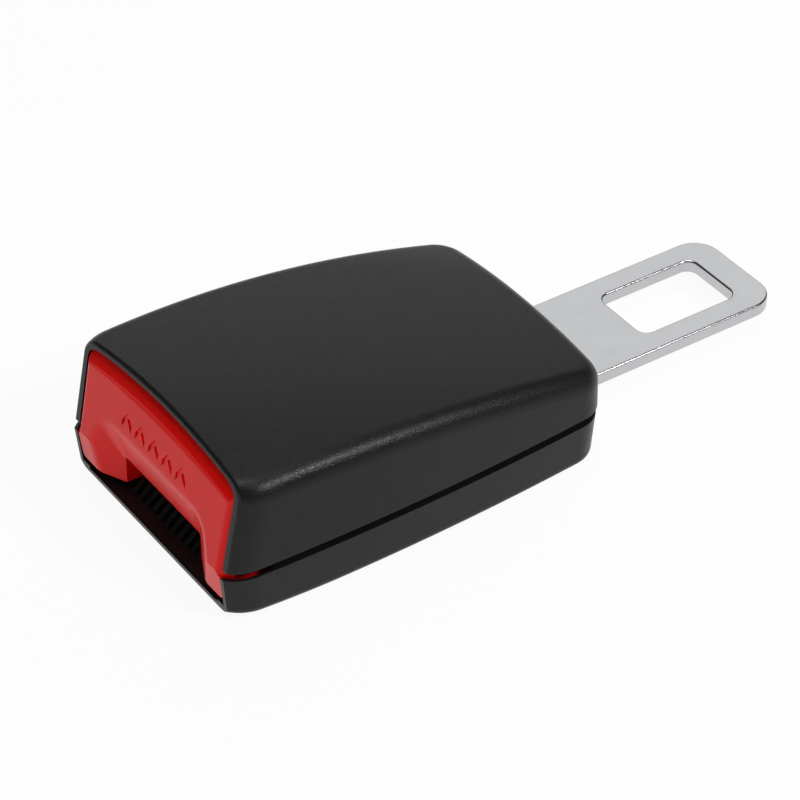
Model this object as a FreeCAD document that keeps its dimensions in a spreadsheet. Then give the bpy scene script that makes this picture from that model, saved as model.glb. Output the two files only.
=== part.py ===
# A seat belt extender: a buckle with a red push button at one end and a latch tongue at the other.
# Millimetres. X runs from the mouth of the buckle (-X) to the tip of the tongue (+X), Z is up, and
# the origin is at the middle of the whole length, on the surface that the buckle lies on.
# Each sub-part is drawn with x measured from the front of the buckle, and its Placement then moves
# it back by half the whole length.
import FreeCAD, Part
import math
import os
import re
import sys

import Sketcher

os.makedirs("parts", exist_ok=True)
doc = FreeCAD.newDocument("SeatBeltExtender")
sheet = doc.addObject("Spreadsheet::Sheet", "Dims")

# Driving dimensions, each with what it measures. Lengths in mm, angles in degrees.
DIMENSIONS = [
    ("body_length", 74.3, "buckle body, front to rear"),
    ("tongue_reach", 46.8, "tongue, from the rear of the body to its tip"),
    ("half_width", 25.65, "half the body's width where it is widest"),
    ("widest_at", 25.6, "distance from the front to the widest place"),
    ("side_radius", 528.0, "plan radius of the bowed long sides"),
    ("front_corner", 7.7, "plan radius of the front corners"),
    ("front_overshoot", 2.2, "how far the front corners' square would stand out"),
    ("rear_corner", 5.8, "plan radius of the rear corners"),
    ("roof_peak", 27.56, "height of the crown"),
    ("peak_at", 12.0, "distance from the front to the crown's highest place"),
    ("roof_radius", 222.0, "side-view radius of the roof"),
    ("crown_radius", 127.0, "end-view radius of the roof"),
    ("roof_edge", 3.7, "rounding between roof and sides"),
    ("side_draft", 0.026, "slope of the upper cover's sides"),
    ("tub_draft", 0.035, "slope of the lower cover's sides"),
    ("tub_edge", 1.6, "rounding of the lower cover's bottom edge"),
    ("corner_lean", 9.5, "lean of the upper cover's front corners"),
    ("cover_setback", 0.55, "front edge of the upper cover, back from the button's face line"),
    ("cover_overhang", 0.3, "rear end of the upper cover, past the lower cover"),
    ("tail_lean", 4.5, "lean of the lower cover's rear end"),
    ("sweep_start", 22.0, "distance from the front to where the underside starts to rise"),
    ("sweep_radius", 312.0, "side-view radius of the rising underside"),
    ("face_lean", 11.1, "lean of the front opening and of the button's face"),
    ("tub_lean", 5.6, "lean of the lower cover's front edge"),
    ("tub_top", 8.4, "top of the lower cover, below the reveal"),
    ("cover_bottom", 9.8, "bottom of the upper cover, above the reveal"),
    ("wall", 1.8, "cover wall"),
    ("rim_wall", 1.0, "cover wall round the button"),
    ("rim_ease", 0.7, "rounding of the upper cover's front edge"),
    ("tub_rim_wall", 0.6, "lower cover's wall beside the button"),
    ("leg_gap", 0.25, "clearance between the button's legs and the lower cover"),
    ("floor_top", 2.2, "lower cover's floor thickness"),
    ("lip_wall", 1.0, "thickness of the lip behind the reveal"),
    ("lip_top", 11.0, "top of the lip behind the reveal"),
    ("lip_root", 2.0, "height of the lip's root on the lower cover"),
    ("lip_gap", 0.15, "clearance between the lip and the upper cover"),
    ("fin_pitch", 2.0, "spacing of the guide fins in the mouth"),
    ("fin_width", 1.0, "thickness of one guide fin"),
    ("fin_start", 2.6, "distance from the front to the guide fins"),
    ("fin_ramp", 2.9, "length of the ramp at the front of a fin"),
    ("floor_lip", 1.6, "top of the floor's front lip"),
    ("lip_run", 3.4, "distance from the front to where the floor is full"),
    ("plate", 2.0, "thickness of the frame and latch steel"),
    ("frame_start", 10.0, "distance from the front to the frame's front edge"),
    ("frame_nose_half", 11.0, "half the width of the frame's nose, between the button's legs"),
    ("wall_start", 20.0, "distance from the front to the frame's side walls"),
    ("wall_length", 30.0, "length of the frame's side walls"),
    ("wall_top", 18.6, "top of the frame's side walls"),
    ("frame_half", 15.0, "half the width of the frame outside its walls"),
    ("tail_length", 23.3, "frame tail over the tongue, back from the rear of the body"),
    ("tail_gap", 4.3, "distance from the end of the tail to the rear of the body"),
    ("tail_half", 9.5, "half the width of the tail"),
    ("joggle", 2.0, "length of the step between the frame's base and its tail"),
    ("tongue_half", 11.0, "half the width of the tongue"),
    ("tongue_plate", 2.5, "thickness of the tongue"),
    ("tongue_top", 5.45, "height of the tongue's top face"),
    ("tongue_root", 22.8, "length of the tongue inside the body"),
    ("tongue_corner", 5.0, "outer corner radius of the tongue"),
    ("tongue_edge", 0.4, "rounding of the tongue's long edges"),
    ("window_start", 5.84, "distance from the tip of the tongue to its window"),
    ("window_length", 20.36, "length of the window along the tongue"),
    ("window_half", 6.5, "half the width of the window"),
    ("window_corner", 2.0, "corner radius of the window"),
    ("rivet_radius", 2.5, "rivet shank"),
    ("rivet_head", 4.0, "radius of a rivet's domed head"),
    ("rivet_rise", 1.8, "height of a rivet's domed head"),
    ("rivet_sink", 1.0, "depth of the countersink under the tongue"),
    ("rivet_front", 19.3, "front rivet, back from the rear of the body"),
    ("rivet_rear", 9.3, "rear rivet, back from the rear of the body"),
    ("slot_half", 11.5, "half the width of the mouth in the button"),
    ("slot_top", 8.6, "top of the mouth in the button"),
    ("button_gap", 0.35, "clearance between the button and the covers"),
    ("button_travel", 5.5, "how far the button is pushed"),
    ("button_bottom", 3.3, "underside of the button's legs"),
    ("face_bend", 9.0, "height where the button's face bends back"),
    ("leg_setback", 0.65, "setback of the face at the underside of the legs"),
    ("face_top", 23.0, "top of the button's face at the middle"),
    ("brow_rise", 0.75, "height of the narrow brow between the face and the bevel"),
    ("brow_lean", 28.0, "lean of the brow"),
    ("bevel_lean", 40.0, "lean of the bevel's lower half"),
    ("bevel_half_rise", 1.5, "height of the bevel's lower half"),
    ("bevel_high_lean", 57.0, "lean of the bevel's upper half"),
    ("bevel_round", 6.0, "rounding between the bevel's halves"),
    ("brow_crown", 300.0, "end-view radius of the brow's lower edge"),
    ("bevel_crown", 215.0, "end-view radius of the bevel's lower edge"),
    ("bevel_run", 4.3, "run of the bevel above the face"),
    ("face_round", 1.3, "rounding of the face's upright outer edges"),
    ("flange_depth", 2.0, "thickness of the button's full-width flange"),
    ("button_depth", 9.5, "distance from the front to the back of the button"),
    ("leg_clear", 1.0, "room between the pushed legs and the frame's walls"),
    ("leg_top", 18.0, "top of the legs behind the face"),
    ("leg_relief", 0.5, "how far the legs behind the face stand back from the mouth"),
    ("leg_foot", 4.6, "flat underside of a leg, in from the widest side"),
    ("leg_knee", 3.9, "lower break of a leg's outer corner, in from the widest side"),
    ("leg_knee_rise", 0.8, "height of that break above the underside"),
    ("leg_hip", 3.4, "upper break of a leg's outer corner, in from the widest side"),
    ("leg_hip_rise", 2.6, "height of that break above the underside"),
    ("scoop_half", 17.8, "half the width of the scoop round the mouth"),
    ("scoop_top", 15.5, "top of the scoop round the mouth"),
    ("scoop_depth", 3.0, "depth of the scoop at the mouth's edge"),
    ("scoop_ease", 4.0, "rounding between the scoop and the face"),
    ("scoop_corner", 6.0, "corner radius of the scoop at the face"),
    ("slot_corner", 1.0, "corner radius of the mouth"),
    ("mark_count", 5, "chevrons sunk in the button's face"),
    ("mark_pitch", 4.1, "spacing of the chevrons"),
    ("mark_width", 2.9, "width of a chevron"),
    ("mark_low", 17.0, "bottom of the chevrons"),
    ("mark_tall", 3.2, "height of a chevron"),
    ("mark_stroke", 1.3, "height of a chevron's stroke"),
    ("mark_sink", 0.3, "depth of the chevrons"),
    ("button_skin", 2.4, "wall of the button's face"),
    ("arm_gap", 0.6, "clearance between the button's arms and the frame"),
    ("arm_wall", 2.0, "thickness of an arm"),
    ("arm_low", 11.0, "underside of the arms"),
    ("arm_tall", 6.0, "height of the arms"),
    ("pivot_at", 44.0, "distance from the front to the latch pivot"),
    ("pivot_height", 11.0, "height of the latch pivot"),
    ("pin_radius", 2.0, "latch pivot pin"),
    ("pin_play", 0.1, "clearance round pins and bars"),
    ("pin_head", 3.2, "radius of the pin's head and washer"),
    ("pin_flange", 0.8, "thickness of the pin's head and washer"),
    ("pin_stub", 0.5, "pin end standing past the washer"),
    ("latch_lift", 16.0, "angle that the latch is held up by with no tongue in"),
    ("latch_reach", 21.2, "latch plate, from the pivot to its front edge"),
    ("latch_half", 10.8, "half the width of the latch plate"),
    ("latch_gap", 3.0, "distance from the pivot to the plate between the ears"),
    ("ear_radius", 3.6, "radius of the latch's ears round the pivot"),
    ("ear_run", 9.0, "length of the ears along the plate, from the pivot"),
    ("tooth_front", 20.2, "latch tooth's front face, from the pivot"),
    ("tooth_length", 3.8, "latch tooth, front to back"),
    ("tooth_half", 4.5, "half the width of the latch tooth"),
    ("tooth_drop", 7.5, "latch tooth's tip, below the pivot"),
    ("tooth_play", 0.9, "room round the tooth in the frame's base"),
    ("bar_radius", 1.75, "lock bar"),
    ("bar_short", 0.2, "how far the lock bar's ends lie inside the arms' outer faces"),
    ("bar_at", 40.0, "distance from the front to the lock bar at rest"),
    ("bar_height", 15.3, "height of the lock bar at rest"),
    ("bar_travel", 6.48, "how far the lock bar slides"),
    ("bar_slope", 22.2, "slope of the lock bar's slots"),
    ("ejector_at", 23.0, "distance from the front to the ejector at rest"),
    ("ejector_travel", 11.0, "how far the tongue pushes the ejector back"),
    ("prong_length", 6.0, "length of the ejector's prongs"),
    ("prong_inner", 5.5, "inner side of the prongs"),
    ("prong_width", 4.5, "width of a prong"),
    ("prong_top", 7.1, "top of the prongs"),
    ("bridge_length", 4.0, "ejector's cross piece, front to back"),
    ("bridge_half", 8.4, "half the width of the ejector's cross piece"),
    ("bridge_top", 8.5, "top of the ejector's cross piece"),
    ("wing_top", 7.1, "top of the ejector's guide wings, under the latch's ears"),
    ("slide_gap", 0.15, "clearance under the ejector"),
    ("side_play", 0.3, "clearance beside a sliding piece"),
    ("tab_top", 9.0, "top of the ejector spring's tab"),
    ("tab_half", 4.0, "half the width of the tab"),
    ("seat_gap", 0.1, "gap between a spring and its seat"),
    ("ejector_coil", 1.65, "mean radius of the ejector spring"),
    ("ejector_wire", 0.25, "wire radius of the ejector spring"),
    ("ejector_spring_height", 6.4, "height of the ejector spring's axis"),
    ("ejector_turns", 5.0, "turns of the ejector spring"),
    ("peg_radius", 1.1, "pegs that the springs sit on"),
    ("peg_length", 2.5, "length of those pegs"),
    ("button_coil", 1.85, "mean radius of the button springs"),
    ("button_wire", 0.3, "wire radius of the button springs"),
    ("button_turns", 8.0, "turns of a button spring"),
    ("spring_inset", 5.45, "button springs' axes, in from the widest side"),
    ("button_spring_height", 14.0, "height of the button springs' axes"),
    ("rib_at", 32.0, "distance from the front to the ribs behind the button springs"),
    ("rib_wall", 1.6, "thickness of the cover's inner ribs"),
    ("latch_coil", 2.3, "mean radius of the latch spring"),
    ("latch_wire", 0.25, "wire radius of the latch spring"),
    ("latch_turns", 5.0, "turns of the latch spring"),
    ("latch_spring_at", 29.2, "distance from the front to the latch spring"),
    ("latch_spring_low", 16.0, "bottom of the latch spring with the latch held up"),
    ("latch_spring_top", 23.4, "top of the latch spring"),
    ("spring_cup", 3.2, "radius of the latch spring's seat under the roof"),
    ("screw_front", 38.0, "front screws, back from the front"),
    ("screw_front_inset", 5.35, "front screws, in from the widest side"),
    ("screw_rear", 8.5, "rear screws, in from the rear of the body"),
    ("screw_rear_inset", 8.45, "rear screws, in from the widest side"),
    ("post_radius", 3.2, "lower cover's screw posts"),
    ("post_top", 11.5, "top of the lower cover's screw posts"),
    ("boss_radius", 2.6, "upper cover's screw bosses"),
    ("screw_radius", 1.25, "screw shank"),
    ("screw_play", 0.02, "clearance round the shank in the boss"),
    ("screw_clear", 1.5, "radius of the clearance hole in a post"),
    ("head_radius", 2.3, "screw head"),
    ("head_play", 0.3, "clearance round the screw head"),
    ("head_sink", 0.2, "depth of the screw head below the floor's underside"),
    ("head_tall", 1.9, "height of the screw head"),
    ("screw_length", 12.0, "screw, under its head"),
    ("drive_width", 0.7, "width of the screw's cross slot"),
    ("locator_radius", 1.5, "pegs that locate the frame"),
    ("locator_at", 31.0, "distance from the front to those pegs"),
    ("locator_out", 11.0, "those pegs, out from the middle"),
    ("hold_at", 43.0, "distance from the front to the ribs that hold the frame down"),
    ("hold_length", 3.0, "length of the ribs that hold the frame down"),
    ("hold_gap", 0.1, "gap between those ribs and the frame's walls"),
    ("notch_gap", 0.15, "clearance round the tongue in the rear wall"),
]
for row, (alias, number, meaning) in enumerate(DIMENSIONS, start=1):
    sheet.set(f"A{row}", str(number))
    sheet.setAlias(f"A{row}", alias)
    sheet.set(f"B{row}", meaning)
doc.recompute()

ALIASES = {alias for alias, number, meaning in DIMENSIONS}
SIDES = [("near", "-1"), ("far", "1")]
UP = FreeCAD.Vector(0, 0, 1)
ACROSS = FreeCAD.Vector(0, 1, 0)
ALONG = FreeCAD.Vector(1, 0, 0)
FAR_OUT = "60"    # larger than any piece: the reach of cutting blocks
FACE = "(%s - face_bend)*tan(face_lean)"    # setback of the button's face at a height
LEG_BACK = "(wall_start - button_travel - leg_clear)"
LIP_START = "(flange_depth + button_travel + 3*side_play)"
RIM_END = "(" + FACE % "roof_peak" + " + bevel_run + button_travel)"
TAB_AT = "(ejector_at + prong_length + bridge_length + ejector_travel + peg_length + side_play)"
ARM_END = "(bar_at - bar_travel*cos(bar_slope) - bar_radius - button_travel - side_play)"
ARM_INNER = "(frame_half + arm_gap)"
RIB_INNER = "(frame_half + arm_gap + arm_wall + side_play)"
BAR_HALF = "(frame_half + arm_gap + arm_wall - bar_short)"
SPRING_OUT = "(half_width - spring_inset)"
kept = []


def size(alias):
    """The number in the sheet's cell of that name."""
    return float(sheet.get(alias))


def bind(thing, prop, text):
    """Tie a property to an expression in the sheet's names."""
    linked = re.sub(r"[a-z]\w*", lambda found: "Dims." * (found[0] in ALIASES) + found[0], text)
    thing.setExpression(prop, linked)


def put(thing, x="0", y="0", z="0"):
    """Tie where a piece stands."""
    for axis, text in (("x", x), ("y", y), ("z", z)):
        bind(thing, f"Placement.Base.{axis}", text)
    return thing


def block(name, x, y, z, long, wide, tall):
    """A box from its lowest corner."""
    box = doc.addObject("Part::Box", name)
    bind(box, "Length", long)
    bind(box, "Width", wide)
    bind(box, "Height", tall)
    return put(box, x, y, z)


def centred(name, x, z, long, half, tall, y="0"):
    """A box that is even about the plane y."""
    return block(name, x, f"{y} - ({half})", z, long, f"2*({half})", tall)


def rod(name, axis, x, y, z, radius, length):
    """A cylinder that runs from its start along +axis."""
    cylinder = doc.addObject("Part::Cylinder", name)
    cylinder.Placement = FreeCAD.Placement(FreeCAD.Vector(), FreeCAD.Rotation(UP, axis))
    bind(cylinder, "Radius", radius)
    bind(cylinder, "Height", length)
    return put(cylinder, x, y, z)


def prism(name, plane, corners, start, length):
    """An outline of straight sides, each corner a pair of expressions, pushed straight out.

    Plane "side" draws x and z and runs from y = start towards -Y, "plan" draws x and y and runs
    up from z = start, and "end" draws y and z and runs from x = start towards +X.
    """
    turns = {"side": FreeCAD.Rotation(ALONG, 90), "plan": FreeCAD.Rotation(),
             "end": FreeCAD.Rotation(FreeCAD.Vector(1, 1, 1), 120)}
    sketch = doc.addObject("Sketcher::SketchObject", name + "_outline")
    count = len(corners)
    ring = [FreeCAD.Vector(math.cos(math.tau * i / count), math.sin(math.tau * i / count), 0)
            for i in range(count)]
    for i in range(count):
        sketch.addGeometry(Part.LineSegment(ring[i], ring[(i + 1) % count]), False)
    for i in range(count):
        sketch.addConstraint(Sketcher.Constraint("Coincident", i, 2, (i + 1) % count, 1))
    for i, (across, up) in enumerate(corners):
        for kind, now, text in (("DistanceX", ring[i].x, across), ("DistanceY", ring[i].y, up)):
            index = sketch.addConstraint(Sketcher.Constraint(kind, -1, 1, i, 1, now))
            bind(sketch, f"Constraints[{index}]", text)
    sketch.Placement = FreeCAD.Placement(FreeCAD.Vector(), turns[plane])
    bind(sketch, "Placement.Base." + {"side": "y", "plan": "z", "end": "x"}[plane], start)
    push = doc.addObject("Part::Extrusion", name)
    push.Base = sketch
    push.DirMode = "Normal"
    push.Solid = True
    bind(push, "LengthFwd", length)
    return push


def join(name, pieces):
    """Several solids made one."""
    fuse = doc.addObject("Part::MultiFuse", name)
    fuse.Shapes = pieces
    fuse.Refine = True
    return fuse


def meet(name, pieces):
    """What several solids share."""
    common = doc.addObject("Part::MultiCommon", name)
    common.Shapes = pieces
    return common


def cut(name, base, tools):
    """A solid less others."""
    tool = tools[0] if len(tools) == 1 else join(name + "_tools", tools)
    less = doc.addObject("Part::Cut", name)
    less.Base = base
    less.Tool = tool
    return less


def rounded(name, base, radius, chosen):
    """A solid with the chosen edges rounded; chosen(edge) says which."""
    doc.recompute()
    round_off = doc.addObject("Part::Fillet", name)
    round_off.Base = base
    numbers = [i for i, edge in enumerate(base.Shape.Edges, start=1) if chosen(edge)]
    round_off.Edges = [(i, radius, radius) for i in numbers]
    return round_off


def upright(edge):
    """True of an edge that runs up and down."""
    box = edge.BoundBox
    return box.ZLength > 2 * max(box.XLength, box.YLength)


def middle(edge):
    """The point half way along an edge."""
    return edge.valueAt((edge.FirstParameter + edge.LastParameter) / 2)


def keep(thing, label, x="0", y="0", z="0"):
    """Make a finished solid a sub-part: its Label names its file, and it moves to its place."""
    thing.Label = label
    put(thing, f"{x} - (body_length + tongue_reach)/2", y, z)
    kept.append(thing)
    return thing


# The case's outer form, moved in by an inset. Both covers, the space inside them and the button
# are cut from it, so their walls and clearances stay even all round.
def bowed_sides(name, inset, low, high):
    """Two wide cones whose overlap is a long lens in plan: low and high are their radii's drafts."""
    cones = []
    for side, sign in SIDES:
        cone = doc.addObject("Part::Cone", f"{name}_{side}_side")
        bind(cone, "Radius1", f"side_radius - ({inset}) + ({low})")
        bind(cone, "Radius2", f"side_radius - ({inset}) - ({high})")
        bind(cone, "Height", "2*roof_peak")
        put(cone, "widest_at", f"{sign}*(side_radius - half_width)", "0")
        cones.append(cone)
    return cones


def barrel(name, inset):
    """The roof's body: a crowned outline turned about a line far below, across the buckle."""
    reach = size("half_width") * 1.8
    crown = size("crown_radius") - inset
    top = size("roof_peak") - inset
    low = size("roof_peak") - size("roof_radius")
    height = top - crown
    spread = math.asin(reach / crown)
    centre = Part.Circle(FreeCAD.Vector(0, height, 0), UP, crown)
    arc = Part.ArcOfCircle(centre, math.pi / 2 - spread, math.pi / 2 + spread)
    corners = [arc.EndPoint, FreeCAD.Vector(-reach, low, 0), FreeCAD.Vector(reach, low, 0), arc.StartPoint]
    sketch = doc.addObject("Sketcher::SketchObject", name + "_outline")
    sketch.addGeometry(arc, False)
    for start, end in zip(corners, corners[1:]):
        sketch.addGeometry(Part.LineSegment(start, end), False)
    for i in range(4):
        sketch.addConstraint(Sketcher.Constraint("Coincident", i, 2, (i + 1) % 4, 1))
    sketch.Placement = FreeCAD.Placement(FreeCAD.Vector(), FreeCAD.Rotation(FreeCAD.Vector(1, 1, 1), 120))
    bind(sketch, "Placement.Base.x", "peak_at")
    turned = doc.addObject("Part::Revolution", name)
    turned.Source = sketch
    turned.Axis = ACROSS
    bind(turned, "Base.x", "peak_at")
    bind(turned, "Base.z", "roof_peak - roof_radius")
    turned.Angle = 60
    turned.Symmetric = True
    turned.Solid = True
    return turned


def inward(inset):
    """An inset's size: the sum of the lengths that it names."""
    return 0 if inset == "0" else sum(size(alias) for alias in inset.split(" + "))


def ends(name, inset, front_low, front_high, rear_low, rear_high, height):
    """A slab between two end faces, each leaning from its place at the floor to its place at the top."""
    return prism(name + "_slab", "side",
                 [(f"{inset} - front_overshoot + {front_low}", "0"), (f"{rear_low} - ({inset})", "0"),
                  (f"{rear_high} - ({inset})", height),
                  (f"{inset} - front_overshoot + {front_high}", height)],
                 "2*half_width", "4*half_width")


def case_form(name, inset):
    """The upper form: bowed sides with draft, leaning front, round corners, crowned and rounded roof."""
    amount = inward(inset)
    cones = bowed_sides(name, inset, "side_draft*(tub_top + cover_bottom)/2",
                        "side_draft*(2*roof_peak - (tub_top + cover_bottom)/2)")
    slab = ends(name, inset, "(-cover_bottom)*tan(corner_lean)",
                "(2*roof_peak - cover_bottom)*tan(corner_lean)", "body_length + cover_overhang",
                "body_length + cover_overhang", "2*roof_peak")
    plan = meet(name + "_plan", cones + [slab])
    halfway = size("body_length") / 2
    front = rounded(name + "_front", plan, size("front_corner") - amount,
                    lambda edge: upright(edge) and middle(edge).x < halfway)
    rear = rounded(name + "_rear", front, size("rear_corner") - amount,
                   lambda edge: upright(edge) and middle(edge).x > size("body_length") - amount - 1)
    crowned = meet(name + "_crowned", [rear, barrel(name + "_barrel", amount)])
    edge_height = size("roof_peak") / 2
    return rounded(name, crowned, size("roof_edge") - amount,
                   lambda edge: not upright(edge) and middle(edge).z > edge_height)


def tub_form(name, inset, outside):
    """The lower form: bowed sides with draft. Outside, its underside rises to the front, edges rounded."""
    amount = inward(inset)
    cones = bowed_sides(name, inset, "-tub_draft*tub_top", "-tub_draft*(2*roof_peak - tub_top)")
    slab = ends(name, inset, "tub_top*tan(tub_lean)", "0", "body_length - tub_top*tan(tail_lean)",
                "body_length", "tub_top")
    plan = meet(name + "_plan", cones + [slab])
    halfway = size("body_length") / 2
    front = rounded(name + "_front", plan, size("front_corner") - amount,
                    lambda edge: upright(edge) and middle(edge).x < halfway)
    rear = rounded(name + "_rear", front, size("rear_corner") - amount,
                   lambda edge: upright(edge) and middle(edge).x > size("body_length") - amount - 1)
    if not outside:
        return rear
    below = cut(name + "_below", block(name + "_under", f"-{FAR_OUT}", f"-{FAR_OUT}", "-tub_top/2",
                                       f"{FAR_OUT} + sweep_start", f"2*{FAR_OUT}", "tub_top"),
                [rod(name + "_sweep", ACROSS, "sweep_start", f"-{FAR_OUT}", "sweep_radius",
                     "sweep_radius", f"2*{FAR_OUT}")])
    swept = cut(name + "_swept", rear, [below])
    return rounded(name, swept, size("tub_edge"), lambda edge: underside_rim(edge))


def underside_rim(edge):
    """True of the edges round the lower cover's underside, its front edge apart."""
    across = edge.BoundBox.XLength < size("front_corner") / 4 and edge.BoundBox.YLength > size("half_width")
    front = middle(edge).x < size("body_length") / 2
    return edge.BoundBox.ZMax < size("tub_edge") and not upright(edge) and not (across and front)


def screw_places():
    """Name, x, y of each cover screw."""
    places = []
    for side, sign in SIDES:
        places.append((f"front_{side}", "screw_front", f"{sign}*(half_width - screw_front_inset)"))
        places.append((f"rear_{side}", "body_length - screw_rear",
                       f"{sign}*(half_width - screw_rear_inset)"))
    return places


lip_cut = block("lip_reach", f"-{FAR_OUT}", f"-{FAR_OUT}", f"-{FAR_OUT}",
                f"{FAR_OUT} + {LIP_START}", f"2*{FAR_OUT}", f"2*{FAR_OUT}")
rim_cut = block("rim_reach", f"-{FAR_OUT}", f"-{FAR_OUT}", f"-{FAR_OUT}",
                f"{FAR_OUT} + {RIM_END}", f"2*{FAR_OUT}", f"2*{FAR_OUT}")


# Upper cover: the moulded shell, its inner bosses and ribs, its leaning front opening.
def front_edge(edge):
    """True of the edges round the upper cover's front, its bottom edge apart."""
    slope = math.tan(math.radians(size("face_lean")))
    away = [abs(point.x - size("cover_setback") - (point.z - size("cover_bottom")) * slope)
            for point in edge.discretize(5)]
    return max(away) < 0.01 and middle(edge).z > size("cover_bottom") + 0.01


def upper_cover():
    outer = case_form("case_outer", "0")
    lower_cut = block("upper_bottom", f"-{FAR_OUT}", f"-{FAR_OUT}", f"cover_bottom - 2*{FAR_OUT}",
                      f"4*{FAR_OUT}", f"2*{FAR_OUT}", f"2*{FAR_OUT}")
    lean_cut = prism("upper_front", "side",
                     [(f"-{FAR_OUT}", "0"), ("cover_setback - cover_bottom*tan(face_lean)", "0"),
                      (f"cover_setback + ({FAR_OUT} - cover_bottom)*tan(face_lean)", FAR_OUT),
                      (f"-{FAR_OUT}", FAR_OUT)],
                     FAR_OUT, f"2*{FAR_OUT}")
    rim = meet("upper_rim_space", [case_form("case_rim", "rim_wall"), rim_cut])
    fronted = cut("case_fronted", outer, [lower_cut, lean_cut])
    eased = rounded("case_eased", fronted, size("rim_ease"), lambda edge: front_edge(edge))
    shell = cut("upper_shell", eased, [case_form("case_inner", "wall"), rim])
    inside = []
    for name, x, y in screw_places():
        inside.append(rod(f"boss_{name}", UP, x, y, "post_top", "boss_radius", "roof_peak"))
    inside.append(rod("spring_seat", UP, "latch_spring_at", "0", "latch_spring_top + seat_gap",
                      "spring_cup", "roof_peak"))
    inside.append(rod("spring_seat_peg", UP, "latch_spring_at", "0", "latch_spring_top - peg_length",
                      "peg_radius", "roof_peak"))
    for side, sign in SIDES:
        inside.append(block(f"spring_rib_{side}", "rib_at",
                            f"{sign}*({RIB_INNER} + half_width/2) - half_width/2", "cover_bottom + lip_root",
                            "rib_wall", "half_width", "leg_top - cover_bottom - lip_root"))
        inside.append(rod(f"rib_peg_{side}", ALONG, "rib_at - peg_length", f"{sign}*{SPRING_OUT}",
                          "button_spring_height", "peg_radius", "peg_length + rib_wall/2"))
        inside.append(centred(f"hold_rib_{side}", "hold_at", "wall_top + hold_gap", "hold_length",
                              "plate/2 - hold_gap", "roof_peak", f"{sign}*(frame_half - plate/2)"))
    inside.append(centred("rear_tab", "body_length - wall", "tongue_top + notch_gap", "wall - rim_wall/2",
                          "tongue_half - notch_gap", "cover_bottom - tongue_top + wall"))
    fitted = meet("upper_fittings", [join("upper_inside", inside), case_form("case_mid", "rim_wall")])
    holes = [rod(f"pilot_{name}", UP, x, y, "post_top - plate", "screw_radius + screw_play",
                 "head_sink + head_tall + screw_length - post_top + 2*plate")
             for name, x, y in screw_places()]
    keep(cut("upper_cover_solid", join("upper_joined", [shell, fitted]), holes), "upper_cover")


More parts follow.
